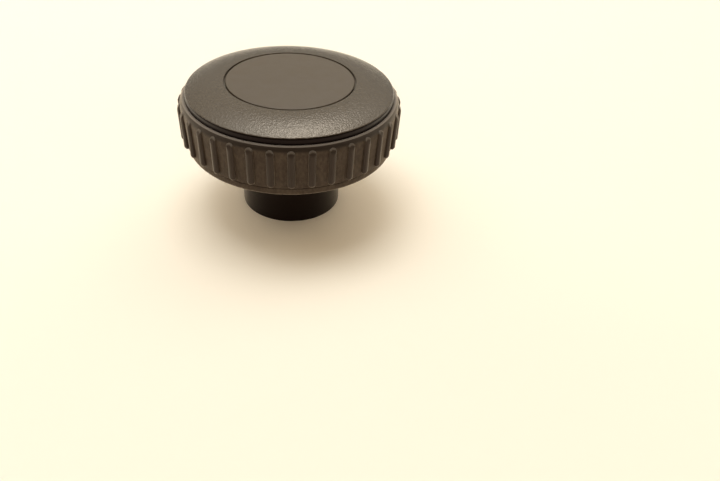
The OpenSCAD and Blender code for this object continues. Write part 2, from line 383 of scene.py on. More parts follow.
class Workshop:
    """Makes, joins and finishes meshes with the three trees."""

    def __init__(self) -> None:
        """Build the trees once."""
        self.revolve = revolve_tree()
        self.pattern = pattern_tree()
        self.thread = thread_tree()

    def piece(
        self, name: str, points: Sequence, edges: Sequence = (), faces: Sequence = ()
    ) -> bpy.types.Object:
        """Make an object from plain lists.

        Args:
            name: Name of the piece.
            points: Its points.
            edges: Its loose edges.
            faces: Its faces.

        Returns:
            The object, linked to the scene.
        """
        mesh = bpy.data.meshes.new(name)
        mesh.from_pydata(points, edges, faces)
        obj = bpy.data.objects.new(name, mesh)
        bpy.context.scene.collection.objects.link(obj)
        return obj

    def shaped(self, name: str, work: bmesh.types.BMesh) -> bpy.types.Object:
        """Make an object from a bmesh, which is used up.

        Args:
            name: Name of the piece.
            work: Its shape.

        Returns:
            The object, linked to the scene.
        """
        obj = self.piece(name, [])
        work.to_mesh(obj.data)
        work.free()
        return obj

    def settle(self, obj: bpy.types.Object, modifier: bpy.types.Modifier) -> None:
        """Turn what a modifier shows into the object's own mesh.

        Args:
            obj: The object.
            modifier: Its modifier, which goes.
        """
        graph = bpy.context.evaluated_depsgraph_get()
        mesh = bpy.data.meshes.new_from_object(obj.evaluated_get(graph), depsgraph=graph)
        obj.modifiers.remove(modifier)
        old = obj.data
        obj.data = mesh
        bpy.data.meshes.remove(old)

    def grow(
        self, obj: bpy.types.Object, tree: bpy.types.NodeTree, inputs: dict[str, Value]
    ) -> bpy.types.Object:
        """Run a geometry tree on an object.

        Args:
            obj: The object, whose mesh is replaced by the result.
            tree: The tree to run.
            inputs: Its values, by the name of the input.

        Returns:
            The same object.
        """
        modifier = obj.modifiers.new(tree.name, "NODES")
        modifier.node_group = tree
        for item in tree.interface.items_tree:
            if item.in_out == "INPUT" and item.name in inputs:
                modifier[item.identifier] = inputs[item.name]
        self.settle(obj, modifier)
        return obj

    def turned(
        self, name: str, corners: Sequence[Corner], finish: bpy.types.Material
    ) -> bpy.types.Object:
        """Turn a section round the knob's axis.

        Args:
            name: Name of the piece.
            corners: The closed section.
            finish: Material of the piece.

        Returns:
            The closed shell.
        """
        points = rounded(corners)
        count = len(points)
        edges = [(k, (k + 1) % count) for k in range(count)]
        obj = self.piece(name, [(r, 0.0, z) for r, z in points], edges)
        inputs = {"Corners": count, "Segments": SEGMENTS, "Finish": finish}
        self.grow(obj, self.revolve, inputs)
        return self.facing_out(obj)

    def repeated(
        self, obj: bpy.types.Object, count: int, turn: float, finish: bpy.types.Material
    ) -> bpy.types.Object:
        """Repeat a piece round the knob's axis.

        Args:
            obj: The piece, in its first place.
            count: Number of copies.
            turn: Angle of the first copy, in degrees.
            finish: Material of the copies.

        Returns:
            The object, now with all the copies.
        """
        inputs = {"Count": count, "Turn": math.radians(turn), "Finish": finish}
        return self.grow(obj, self.pattern, inputs)

    def facing_out(self, obj: bpy.types.Object) -> bpy.types.Object:
        """Merge doubles and turn the faces outwards.

        Args:
            obj: A closed piece.

        Returns:
            The same object.
        """
        work = bmesh.new()
        work.from_mesh(obj.data)
        bmesh.ops.remove_doubles(work, verts=work.verts, dist=MERGE)
        bmesh.ops.recalc_face_normals(work, faces=work.faces)
        work.to_mesh(obj.data)
        work.free()
        return obj

    def worked(self, target: bpy.types.Object, tool: bpy.types.Object, join: Join) -> None:
        """Join a closed mesh to another, or cut it out.

        Args:
            target: The mesh that is changed.
            tool: The mesh that is used up.
            join: Whether it is added or cut out.
        """
        modifier = target.modifiers.new(join.name, "BOOLEAN")
        modifier.operation = join.value
        modifier.solver = "MANIFOLD"
        modifier.object = tool
        self.settle(target, modifier)
        bpy.data.meshes.remove(tool.data)

    def finished(self, obj: bpy.types.Object, node: str, crease: float = 32.0) -> None:
        """Scale a piece to metres, smooth it and put it in the place of its solid.

        Args:
            obj: The piece, still in millimetres.
            node: The solid that it stands for.
            crease: Angle from which an edge stays sharp, in degrees.
        """
        self.facing_out(obj)
        obj.data.transform(Matrix.Scale(MM, 4))
        obj.data.shade_smooth()
        obj.data.set_sharp_from_angle(angle=math.radians(crease))
        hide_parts(node)
        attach(obj, "root")
        triangles = sum(len(p.vertices) - 2 for p in obj.data.polygons)
        LOG.info("%s stands for %s: %d triangles", obj.name, node, triangles)


class ShaderGraph(Graph):
    """A material's tree, with patterns laid out in millimetres on Object coordinates."""

    def __init__(self, name: str) -> None:
        """Make the material.

        Args:
            name: Name of the material.
        """
        self.material = bpy.data.materials.new(name)
        self.material.use_nodes = True
        super().__init__(self.material.node_tree)
        place = self.add("ShaderNodeTexCoord").outputs["Object"]
        scaled = self.add("ShaderNodeVectorMath", {0: place, 3: 1 / MM}, operation="SCALE")
        self.spot = scaled.outputs[0]
        parts = self.add("ShaderNodeSeparateXYZ", {0: self.spot}).outputs
        self.z = parts["Z"]
        self.r = self.length(parts["X"], parts["Y"])
        self.angle = self.math("ARCTAN2", parts["Y"], parts["X"])

    def length(self, first: Value, second: Value) -> bpy.types.NodeSocket:
        """Return the length of a vector of two parts."""
        squares = [self.math("MULTIPLY", part, part) for part in (first, second)]
        return self.math("SQRT", self.math("ADD", *squares))

    def noise(
        self, size: float, detail: float = 2.0, roughness: float = 0.5, squash: float = 1.0
    ) -> bpy.types.NodeSocket:
        """Make noise from 0 to 1.

        Args:
            size: About how far it is across a patch, in mm.
            detail: Number of finer layers.
            roughness: Strength of the finer layers.
            squash: Width of a patch as a share of its height.

        Returns:
            The noise.
        """
        inputs = {0: self.spot, 1: (1.0, 1.0, squash)}
        place = self.add("ShaderNodeVectorMath", inputs, operation="MULTIPLY").outputs[0]
        inputs = {"Vector": place, "Scale": 1 / size, "Detail": detail, "Roughness": roughness}
        return self.add("ShaderNodeTexNoise", inputs).outputs[0]

    def cells(self, size: float) -> bpy.types.NodeSocket:
        """Return the distance field of cells that are about size mm across."""
        inputs = {"Vector": self.spot, "Scale": 1 / size}
        return self.add("ShaderNodeTexVoronoi", inputs, feature="SMOOTH_F1").outputs["Distance"]

    def uneven(self, field: Value, low: float, high: float) -> bpy.types.NodeSocket:
        """Return a value that goes from low to high over the middle of a noise."""
        return self.ramp(field, 0.3, 0.7, low, high)

    def bump(
        self, height: Value, depth: float, normal: bpy.types.NodeSocket | None = None
    ) -> bpy.types.NodeSocket:
        """Return a normal bent by a height field whose full swing is depth mm."""
        inputs = {"Height": height, "Distance": depth * MM, "Strength": 1.0}
        if normal is not None:
            inputs["Normal"] = normal
        return self.add("ShaderNodeBump", inputs).outputs[0]

    def surface(self, **inputs: Value) -> bpy.types.Material:
        """End the tree in a Principled shader.

        Args:
            **inputs: Values or sockets of the shader, with _ for a space in a name.

        Returns:
            The material.
        """
        shader = self.add("ShaderNodeBsdfPrincipled")
        for name, value in inputs.items():
            if isinstance(value, tuple) and len(value) == 3:
                value = (*value, 1.0)
            self.feed(shader.inputs[name.replace("_", " ")], value)
        self.add("ShaderNodeOutputMaterial", {"Surface": shader.outputs[0]})
        return self.material


@dataclass(frozen=True)
class Measures:
    """Sizes that several pieces share, in mm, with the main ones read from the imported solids."""

    knob_h: float
    knob_r: float
    flange_r: float
    rim_z: float
    lip_z: float
    cap_r: float
    bush_r: float
    bush_l: float
    hub_r: float = 11.5
    cap_t: float = 1.8
    cap_fit: float = 0.05
    groove_w: float = 0.4
    flange_seat: float = 1.4
    grip_wall: float = 2.4
    lip_wall: float = 1.25
    key_w: float = 2.4
    key_d: float = 0.7
    clip_d: float = 17.0
    clip_l: float = 4.6
    hook_d: float = 0.35
    hook_h: float = 1.0
    clip_fit: float = 0.15
    edge: float = 0.06

    @classmethod
    def from_frame(cls) -> "Measures":
        """Read the driving sizes from the solids' boxes."""
        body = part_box("body")
        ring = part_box("grip_ring")
        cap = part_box("centre_cap")
        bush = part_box("bush")
        return cls(
            knob_h=body[1].z / MM,
            knob_r=ring[1].x / MM,
            flange_r=body[1].x / MM,
            rim_z=ring[0].z / MM,
            lip_z=ring[1].z / MM,
            cap_r=cap[1].x / MM,
            bush_r=bush[1].x / MM,
            bush_l=bush[1].z / MM,
        )

    @property
    def wall_r(self) -> float:
        """Radius of the soft wall below its lip."""
        return self.flange_r + self.lip_wall

    @property
    def rim_r(self) -> float:
        """Radius of the rim inside the soft ring."""
        return self.wall_r - self.grip_wall

    @property
    def groove_r(self) -> float:
        """Outer radius of the shadow groove round the cap."""
        return self.cap_r + self.groove_w

    @property
    def step_z(self) -> float:
        """Height of the step that the lip sits on."""
        return self.lip_z - self.flange_seat

    @property
    def seat_z(self) -> float:
        """Height of the cap's seat."""
        return self.knob_h - self.cap_t

    @property
    def key_z(self) -> float:
        """Middle height of the ridge that keys the soft ring."""
        return (self.rim_z + self.step_z) / 2

    @property
    def clip_z(self) -> float:
        """Height of the clip fingers' ends."""
        return self.seat_z - self.clip_l


@dataclass(frozen=True)
class BlackMoulding:
    """Black plastic: fine spark-eroded grain on the crowned face, smooth satin elsewhere.

    The satin parts are coloured darker than the plastic, a painted shade for the shadow under the
    rim.
    """

    face_colour: Colour = (0.040, 0.029, 0.019)
    # Lighter tone on the grain's peaks
    peak_tone_and_crown_shade_colour: Colour = (0.078, 0.060, 0.042)
    # Hub, rim and flange side: black made darker still, a painted shade for the shadow under the
    # rim
    satin_shade_colour: Colour = (0.0045, 0.0025, 0.0022)
    face_shine: Colour = (1.0, 0.89, 0.76)
    satin_shine: Colour = (0.25, 0.19, 0.18)
    grain: float = 0.35
    grain_depth: float = 0.098
    grain_share: float = 0.78
    dust: float = 0.14
    dust_share: float = 0.33
    peak_dust: float = 0.5
    peak_at: Span = (0.35, 1.0)
    peak_share: float = 0.6
    patch: float = 6.0
    patch_share: float = 0.25
    satin_patch: float = 1.6
    ripple: float = 0.5
    ripple_depth: float = 0.003
    face_rough: Span = (0.15, 0.25)
    satin_rough: Span = (0.20, 0.27)
    face_r: float = 22.95
    face_z: float = 28.45
    face_fade: float = 0.12

    def build(self) -> bpy.types.Material:
        """Make the material.

        Returns:
            The material.
        """
        g = ShaderGraph("body_plastic")
        above = g.ramp(g.z, self.face_z, self.face_z + self.face_fade)
        inside = g.ramp(g.r, self.face_r, self.face_r + self.face_fade, 1.0, 0.0)
        face = g.math("MULTIPLY", inside, above)
        pits = g.cells(self.grain)
        dust = g.noise(self.dust, 2.0, 0.6)
        patches = g.noise(self.patch, 3.0)
        peak = g.ramp(g.math("ADD", pits, g.math("MULTIPLY", dust, self.peak_dust)), *self.peak_at)
        lit = g.tint(g.math("MULTIPLY", peak, self.peak_share), self.face_colour, self.peak_tone_and_crown_shade_colour)
        grained = g.tint(g.math("MULTIPLY", patches, self.patch_share), lit, self.face_colour)
        # The satin parts take the painted-shade colour
        colour = g.tint(face, self.satin_shade_colour, grained)
        satin_rough = g.uneven(g.noise(self.satin_patch, 3.0), *self.satin_rough)
        rough = g.blend(face, satin_rough, g.uneven(dust, *self.face_rough))
        deep = g.math("MULTIPLY", pits, self.grain_share)
        height = g.math("ADD", deep, g.math("MULTIPLY", dust, self.dust_share))
        normal = g.bump(g.math("MULTIPLY", height, face), self.grain_depth)
        faint = g.bump(g.noise(self.ripple, 3.0, 0.6), self.ripple_depth, normal)
        shine = g.tint(face, self.satin_shine, self.face_shine)
        gloss = {"Specular_IOR_Level": 0.5, "Specular_Tint": shine}
        return g.surface(Base_Color=colour, Roughness=rough, Normal=faint, **gloss)


@dataclass(frozen=True)
class MattCap:
    """Matt black plastic with a very fine even grain."""

    colour: Colour = (0.057, 0.040, 0.023)
    light_colour: Colour = (0.073, 0.053, 0.033)
    grain: float = 0.14
    grain_depth: float = 0.014
    patch: float = 4.0
    fleck_share: Span = (0.3, 0.7)
    rough: Span = (0.50, 0.58)
    gloss: float = 0.4

    def build(self) -> bpy.types.Material:
        """Make the material.

        Returns:
            The material.
        """
        g = ShaderGraph("cap_plastic")
        pits = g.cells(self.grain)
        patches = g.noise(self.patch, 3.0)
        flecks = g.math("MULTIPLY", pits, g.uneven(patches, *self.fleck_share))
        colour = g.tint(flecks, self.colour, self.light_colour)
        rough = g.uneven(patches, *self.rough)
        normal = g.bump(pits, self.grain_depth)
        gloss = {"Specular_IOR_Level": self.gloss}
        return g.surface(Base_Color=colour, Roughness=rough, Normal=normal, **gloss)


@dataclass(frozen=True)
class SoftRubber:
    """Warm grey elastomer, dull between the ribs and smooth on crowns and shoulder.

    Painted shade darkens the crowns and shoulder, and painted highlights lighten the lip's crest
    and the crescents at the rib tips. The first four fields are the ring's own sizes, by which
    these parts are found.
    """

    rib_n: int
    wall_r: float
    wall_slope: float
    shoulder_z: float
    wall_colour: Colour = (0.043, 0.028, 0.019)
    bloom_colour: Colour = (0.074, 0.053, 0.038)
    # Rib crowns, coloured darker than the wall as painted shade
    peak_tone_and_crown_shade_colour: Colour = (0.028, 0.0165, 0.0105)
    # Painted shade on the shoulder under the lip and on the rib tops below it
    shoulder_shade_colour: Colour = (0.020, 0.0115, 0.0065)
    # Painted highlight along the lip's crest
    crest_highlight_colour: Colour = (0.15, 0.13, 0.115)
    # Painted highlight on the crescent at each rib's top end
    tip_highlight_colour: Colour = (0.085, 0.070, 0.058)
    crown_at: Span = (0.08, 0.40)
    shoulder_reach: float = 0.75
    crest_z: float = 27.16
    crest_fade: float = 0.08
    tip_z: float = 25.7
    tip_inner: Span = (0.40, 0.62)
    tip_outer: Span = (0.78, 0.90)
    tip_rise: Span = (0.15, 0.50)
    patch: float = 3.5
    streak: float = 0.6
    streak_squash: float = 0.5
    streak_share: float = 0.65
    bloom_at: Span = (0.38, 0.64)
    fleck: float = 0.22
    fleck_share: float = 0.35
    grain: float = 0.35
    grain_share: float = 0.5
    grain_depth: float = 0.014
    wall_rough: Span = (0.62, 0.78)
    worn_rough: Span = (0.38, 0.48)
    gloss: float = 0.22
    sheen: float = 0.5
    sheen_rough: float = 0.4
    sheen_colour: Colour = (1.0, 0.88, 0.74)

    def build(self) -> bpy.types.Material:
        """Make the material.

        Returns:
            The material.
        """
        g = ShaderGraph("grip_rubber")
        drop = g.math("MULTIPLY", g.math("SUBTRACT", self.shoulder_z, g.z), self.wall_slope)
        out = g.math("SUBTRACT", g.math("ADD", g.r, drop), self.wall_r)
        crown = g.ramp(out, *self.crown_at)
        shoulder = g.ramp(g.z, self.shoulder_z, self.shoulder_z + self.shoulder_reach)
        crest = g.ramp(g.z, self.crest_z - self.crest_fade, self.crest_z)
        # Crowns and shoulder: smoother, and coloured with painted shade
        smooth_and_shaded = g.math("MAXIMUM", crown, shoulder)
        fine = g.noise(self.fleck, 3.0, 0.65)
        flecks = g.math("MULTIPLY", fine, self.fleck_share)
        speckled = g.tint(flecks, self.wall(g), self.peak_tone_and_crown_shade_colour)
        # Painted shade: darker colour on the crowns, deepest on the shoulder
        dark = g.tint(shoulder, self.peak_tone_and_crown_shade_colour, self.shoulder_shade_colour)
        # Painted highlight on the lip's crest
        plain = g.tint(crest, g.tint(smooth_and_shaded, speckled, dark), self.crest_highlight_colour)
        # Painted highlight on the crescents at the rib tips
        colour = g.tint(self.tip(g), plain, self.tip_highlight_colour)
        rough = g.blend(smooth_and_shaded, g.uneven(fine, *self.wall_rough), g.uneven(fine, *self.worn_rough))
        cells = g.math("MULTIPLY", g.cells(self.grain), self.grain_share)
        normal = g.bump(g.math("ADD", fine, cells), self.grain_depth)
        dusty = {
            "Specular_IOR_Level": self.gloss,
            "Sheen_Weight": self.sheen,
            "Sheen_Roughness": self.sheen_rough,
            "Sheen_Tint": self.sheen_colour,
        }
        return g.surface(Base_Color=colour, Roughness=rough, Normal=normal, **dusty)

    def wall(self, g: ShaderGraph) -> bpy.types.NodeSocket:
        """Colour the wall between the ribs, with its bloom in upright streaks and patches.

        Args:
            g: The material's tree.

        Returns:
            The colour.
        """
        streaks = g.noise(self.streak, 3.0, 0.6, self.streak_squash)
        patches = g.noise(self.patch, 4.0, 0.6)
        share = self.streak_share
        mixed = [g.math("MULTIPLY", streaks, share), g.math("MULTIPLY", patches, 1 - share)]
        bloom = g.ramp(g.math("ADD", *mixed), *self.bloom_at)
        return g.tint(bloom, self.wall_colour, self.bloom_colour)

    def tip(self, g: ShaderGraph) -> bpy.types.NodeSocket:
        """Find the crescent at the top of each rib, where a highlight is painted.

        Args:
            g: The material's tree.

        Returns:
            A mask that is 1 on the crescents.
        """
        pitch = g.math("MULTIPLY", g.angle, self.rib_n / math.tau)
        off = g.math("SUBTRACT", g.math("FRACT", g.math("ADD", pitch, 0.5)), 0.5)
        across = g.math("MULTIPLY", off, math.tau * self.wall_r / self.rib_n)
        up = g.math("SUBTRACT", g.z, self.tip_z)
        far = g.length(across, up)
        inner = g.ramp(far, *self.tip_inner)
        band = g.math("MULTIPLY", inner, g.ramp(far, *self.tip_outer, 1.0, 0.0))
        return g.math("MULTIPLY", band, g.ramp(up, *self.tip_rise))


@dataclass(frozen=True)
class TurnedBrass:
    """Bright turned brass with fine tool rings on its end."""

    colour: Colour = (0.64, 0.46, 0.21)
    dull_colour: Colour = (0.50, 0.34, 0.15)
    ring_pitch: float = 0.12
    ring_depth: float = 0.0015
    wobble: float = 0.1
    wobble_patch: float = 1.0
    patch: float = 2.2
    rough: Span = (0.22, 0.34)

    def build(self) -> bpy.types.Material:
        """Make the material.

        Returns:
            The material.
        """
        g = ShaderGraph("bush_brass")
        patches = g.noise(self.patch, 3.0)
        wobble = g.math("MULTIPLY", g.noise(self.wobble_patch), self.wobble)
        phase = g.math("MULTIPLY", g.math("ADD", g.r, wobble), math.tau / self.ring_pitch)
        colour = g.tint(patches, self.colour, self.dull_colour)
        rough = g.uneven(patches, *self.rough)
        normal = g.bump(g.math("SINE", phase), self.ring_depth)
        return g.surface(Base_Color=colour, Metallic=1.0, Roughness=rough, Normal=normal)


@dataclass(frozen=True)
class KnobBody:
    """The black moulding: hub, deck with its crowned face, rim and webs."""

    sizes: Measures
    crown_drop: float = 1.9
    flange_round: float = 0.6
    hub_edge: float = 0.15
    rim_wall: float = 2.3
    rim_draft: float = 1.5
    deck_t: float = 2.7
    pocket_round: float = 1.0
    groove_h: float = 0.5
    web_n: int = 6
    web_t: float = 1.8
    web_drop: float = 2.0
    web_round: float = 0.25
    web_steps: int = 3
    well_gap: float = 0.5
    edge_steps: int = 16
    face_steps: int = 30

    @property
    def pocket_top(self) -> float:
        """Height of the pockets' tops."""
        return self.sizes.seat_z - self.deck_t

    def crowned_face(self) -> list[Corner]:
        """Draw the face from the flange's side in to the groove.

        Returns:
            The corners of two arcs that touch.
        """
        m = self.sizes
        span = m.flange_r - m.groove_r
        radius = (span**2 + self.crown_drop**2) / (2 * self.crown_drop)
        low = m.knob_h - radius
        edge_r = m.flange_r - self.flange_round
        rise = math.sqrt((radius - self.flange_round) ** 2 - (edge_r - m.groove_r) ** 2)
        meet = math.atan2(rise, edge_r - m.groove_r)
        edge = arc((edge_r, low + rise), self.flange_round, 0, meet, self.edge_steps)
        face = arc((m.groove_r, low), radius, meet, math.pi / 2, self.face_steps)
        mouth = Corner(m.groove_r, m.knob_h, m.edge)
        return edge + face[1:-1] + [mouth]

    def section(self) -> list[Corner]:
        """Draw the half section, from the axis over the bush's hole round to the cap's well.

        Returns:
            The corners of the closed section.
        """
        m = self.sizes
        rim_in = m.rim_r - self.rim_wall
        top_in = rim_in - math.tan(math.radians(self.rim_draft)) * (self.pocket_top - m.rim_z)
        well_r = m.clip_d / 2 + m.clip_fit
        catch_r = well_r + m.hook_d
        catch_z = m.clip_z + m.hook_h + m.cap_fit
        well_z = m.clip_z - self.well_gap
        seat_r = m.cap_r + m.cap_fit
        key_r = m.rim_r - m.key_d
        hole = [Corner(0, m.bush_l), Corner(m.bush_r, m.bush_l), Corner(m.bush_r, 0)]
        hub = [
            Corner(m.hub_r, 0, self.hub_edge),
            Corner(m.hub_r, self.pocket_top, self.pocket_round),
            Corner(top_in, self.pocket_top, m.edge),
            Corner(rim_in, m.rim_z, m.edge),
        ]
        rim = [
            Corner(m.rim_r, m.rim_z),
            Corner(m.rim_r, m.key_z - m.key_w / 2),
            Corner(key_r, m.key_z - m.key_w / 2),
            Corner(key_r, m.key_z + m.key_w / 2),
            Corner(m.rim_r, m.key_z + m.key_w / 2),
            Corner(m.rim_r, m.step_z),
            Corner(m.flange_r, m.step_z),
        ]
        well = [
            Corner(m.groove_r, m.knob_h - self.groove_h),
            Corner(seat_r, m.knob_h - self.groove_h),
            Corner(seat_r, m.seat_z),
            Corner(well_r, m.seat_z),
            Corner(well_r, catch_z),
            Corner(catch_r, catch_z),
            Corner(catch_r, well_z),
            Corner(0, well_z),
        ]
        return hole + hub + rim + self.crowned_face() + well

    def web(self, shop: Workshop) -> bpy.types.Object:
        """Make one web between the hub and the rim, with softened edges.

        Args:
            shop: The workshop.

        Returns:
            The web on the +X side.
        """
        m = self.sizes
        low = Vector((m.hub_r - ROOT, -self.web_t / 2, m.rim_z + self.web_drop))
        high = Vector((m.rim_r - self.rim_wall + ROOT, self.web_t / 2, self.pocket_top + ROOT))
        work = block(low, high)
        under = [e for e in work.edges if all(v.co.z < low.z + NEAR for v in e.verts)]
        round_off = {"offset": self.web_round, "segments": self.web_steps, "profile": 0.5}
        bmesh.ops.bevel(work, geom=under, affect="EDGES", **round_off)
        return shop.shaped("web", work)

    def build(self, shop: Workshop) -> None:
        """Make the moulding and put it in the body's place.

        Args:
            shop: The workshop.
        """
        finish = BlackMoulding().build()
        obj = shop.turned("knob_body", self.section(), finish)
        webs = shop.repeated(self.web(shop), self.web_n, 0.0, finish)
        shop.worked(obj, webs, Join.ADD)
        shop.finished(obj, "body")


@dataclass(frozen=True)
class GripRing:
    """The soft ring: lip, tapered wall with raised ribs, crease and bead."""

    sizes: Measures
    lip_gap_round: float = 0.4
    crest_w: float = 0.15
    shoulder_round: float = 2.0
    wall_taper: float = 4.0
    crease_w: float = 0.45
    crease_d: float = 0.4
    bead_h: float = 1.6
    bead_step: float = 0.4
    bead_round: float = 1.3
    rib_n: int = 36
    rib_w: float = 1.6
    rib_h: float = 0.6
    rib_taper: float = 2.0
    rib_arch: float = 0.45
    rib_fade: float = 1.3
    rib_fade_round: float = 2.6
    rib_fade_angle: float = 12.0
    rib_top_gap: float = 0.8
    rib_foot_gap: float = 0.3
    rib_edge: float = 0.12
    first_rib: float = -90.0
    shoulder_steps: int = 12
    crown_steps: int = 7
    edge_steps: int = 4
    end_steps: int = 14
    bar_steps: int = 24

    @property
    def wall_slope(self) -> float:
        """How much the wall draws in for each mm down."""
        return math.tan(math.radians(self.wall_taper))

    @property
    def crease_z(self) -> float:
        """Height of the crease's lower side."""
        return self.sizes.rim_z + self.bead_h

    @property
    def shoulder_z(self) -> float:
        """Height at which the shoulder's arc leaves the wall."""
        in_by = self.shoulder_round - (self.sizes.lip_wall - self.lip_gap_round - self.crest_w)
        return self.sizes.lip_z - math.sqrt(self.shoulder_round**2 - in_by**2)

    @property
    def rib_l(self) -> float:
        """Length of a rib."""
        top = self.sizes.lip_z - self.rib_top_gap
        return top - self.crease_z - self.crease_w - self.rib_foot_gap

    def wall_at(self, z: float) -> float:
        """Return the wall's radius at a height."""
        return self.sizes.wall_r - self.wall_slope * (self.shoulder_z - z)

    def section(self) -> list[Corner]:
        """Draw the half section of the wall without its ribs.

        Returns:
            The corners of the closed section.
        """
        m = self.sizes
        crease_top = self.crease_z + self.crease_w
        bead_r = self.wall_at(self.crease_z) - self.bead_step
        crease_r = bead_r - self.crease_d
        key_r = m.rim_r - m.key_d
        middle = (m.wall_r - self.shoulder_round, self.shoulder_z)
        top = math.asin((m.lip_z - self.shoulder_z) / self.shoulder_round)
        outer = [
            Corner(m.rim_r, m.rim_z, m.edge),
            Corner(bead_r, m.rim_z, self.bead_round),
            Corner(bead_r, self.crease_z, m.edge),
            Corner(crease_r, self.crease_z),
            Corner(crease_r, crease_top),
            Corner(self.wall_at(crease_top), crease_top, m.edge),
        ]
        shoulder = arc(middle, self.shoulder_round, 0.0, top, self.shoulder_steps)
        inner = [
            Corner(m.flange_r, m.lip_z, self.lip_gap_round),
            Corner(m.flange_r, m.step_z),
            Corner(m.rim_r, m.step_z),
            Corner(m.rim_r, m.key_z + m.key_w / 2),
            Corner(key_r, m.key_z + m.key_w / 2),
            Corner(key_r, m.key_z - m.key_w / 2),
            Corner(m.rim_r, m.key_z - m.key_w / 2),
        ]
        return outer + shoulder + inner

    def rib(self, shop: Workshop) -> bpy.types.Object:
        """Make one rib: a bar with round ends and an arched crown, on the +X side.

        Args:
            shop: The workshop.

        Returns:
            The rib, in its place on the wall.
        """
        m = self.sizes
        half = self.rib_w / 2
        bar = self.rib_l - self.rib_w
        crown_r = (half**2 + self.rib_arch**2) / (2 * self.rib_arch)
        spread = math.tan(math.radians(self.wall_taper - self.rib_taper)) * self.rib_l
        foot = self.rib_h + spread + ROOT
        rings = self.rib_profile(half, crown_r, foot)
        outline = self.pill_outline(bar)
        tilt = Matrix.Rotation(math.radians(self.rib_taper), 4, "Y")
        peak_z = m.lip_z - self.rib_top_gap - self.rib_fade
        place = Matrix.Translation((m.knob_r, 0, peak_z)) @ tilt
        points = []
        for reach, depth in rings:
            for share, side, up in outline:
                height = self.rib_fade - half - bar * share + reach * up
                sunk = max(depth, self.faded(height))
                points.append(place @ Vector((-sunk, reach * side, height)))
        count = len(outline)
        faces = []
        for ring in range(len(rings) - 1):
            here, there = ring * count, (ring + 1) * count
            for k in range(count):
                beside = (k + 1) % count
                faces.append((here + k, here + beside, there + beside, there + k))
        faces.append(tuple(range((len(rings) - 1) * count, len(rings) * count)))
        return shop.facing_out(shop.piece("rib", points, (), faces))

    def faded(self, height: float) -> float:
        """Return how deep a rib's crown is cut at a height over its peak."""
        if height <= 0:
            return 0.0
        angle = math.radians(self.rib_fade_angle)
        rise = self.rib_fade_round * math.sin(angle) + height
        return self.rib_fade_round * math.cos(angle) - math.sqrt(self.rib_fade_round**2 - rise**2)

    def rib_profile(self, half: float, crown_r: float, foot: float) -> list[Point]:
        """Draw half the cross-section of a rib.

        Args:
            half: Half its width.
            crown_r: Radius of its crown.
            foot: Depth of its foot below the crown.

        Returns:
            Pairs of reach from the middle line and depth below the crown.
        """
        start = half - self.rib_edge
        reaches = [start * k / self.crown_steps for k in range(self.crown_steps + 1)]
        dome = [(x, crown_r - math.sqrt(crown_r**2 - x**2)) for x in reaches]
        low = dome[-1][1]
        drop = self.rib_arch + self.rib_edge - low
        turns = [math.pi / 2 * k / self.edge_steps for k in range(1, self.edge_steps + 1)]
        edge = [
            (start + self.rib_edge * math.sin(a), low + drop * (1 - math.cos(a))) for a in turns
        ]
        return dome + edge + [(half, foot)]

    def pill_outline(self, bar: float) -> list[tuple[float, float, float]]:
        """Draw the outline of a bar with round ends.

        Args:
            bar: Length of its straight stretch.

        Returns:
            For each point, its share of the way down the bar, and its direction sideways and up.
        """
        turns = [math.pi * k / self.end_steps for k in range(self.end_steps + 1)]
        shares = [k / self.bar_steps for k in range(1, self.bar_steps)]
        top = [(0.0, math.cos(a), math.sin(a)) for a in turns]
        left = [(share, -1.0, 0.0) for share in shares]
        low = [(1.0, -math.cos(a), -math.sin(a)) for a in turns]
        right = [(1 - share, 1.0, 0.0) for share in shares]
        return top + left + low + right

    def build(self, shop: Workshop) -> None:
        """Make the ring and put it in its solid's place.

        Args:
            shop: The workshop.
        """
        sizes = (self.rib_n, self.sizes.wall_r, self.wall_slope, self.shoulder_z)
        finish = SoftRubber(*sizes).build()
        obj = shop.turned("soft_ring", self.section(), finish)
        ribs = shop.repeated(self.rib(shop), self.rib_n, self.first_rib, finish)
        shop.worked(obj, ribs, Join.ADD)
        shop.finished(obj, "grip_ring")


@dataclass(frozen=True)
class CentreCap:
    """The snap-in disc with its clip fingers."""

    sizes: Measures
    cap_edge: float = 0.2
    clip_n: int = 4
    clip_t: float = 1.2
    clip_gap: float = 4.0

    def section(self) -> list[Corner]:
        """Draw the half section with a full ring of finger.

        Returns:
            The corners of the closed section.
        """
        m = self.sizes
        out = m.clip_d / 2
        hook = out + m.hook_d
        return [
            Corner(0, m.seat_z),
            Corner(out - self.clip_t, m.seat_z),
            Corner(out - self.clip_t, m.clip_z, m.edge),
            Corner(out, m.clip_z),
            Corner(hook, m.clip_z + m.hook_d),
            Corner(hook, m.clip_z + m.hook_h),
            Corner(out, m.clip_z + m.hook_h),
            Corner(out, m.seat_z),
            Corner(m.cap_r, m.seat_z),
            Corner(m.cap_r, m.knob_h, self.cap_edge),
            Corner(0, m.knob_h),
        ]

    def build(self, shop: Workshop) -> None:
        """Make the cap and put it in its solid's place.

        Args:
            shop: The workshop.
        """
        m = self.sizes
        finish = MattCap().build()
        obj = shop.turned("cap_disc", self.section(), finish)
        low = (0.0, -self.clip_gap / 2, m.clip_z - PAST)
        high = (m.clip_d / 2 + m.hook_d + PAST, self.clip_gap / 2, m.seat_z)
        slot = shop.shaped("slot", block(low, high))
        shop.worked(obj, shop.repeated(slot, self.clip_n, 180 / self.clip_n, finish), Join.CUT)
        shop.finished(obj, "centre_cap")


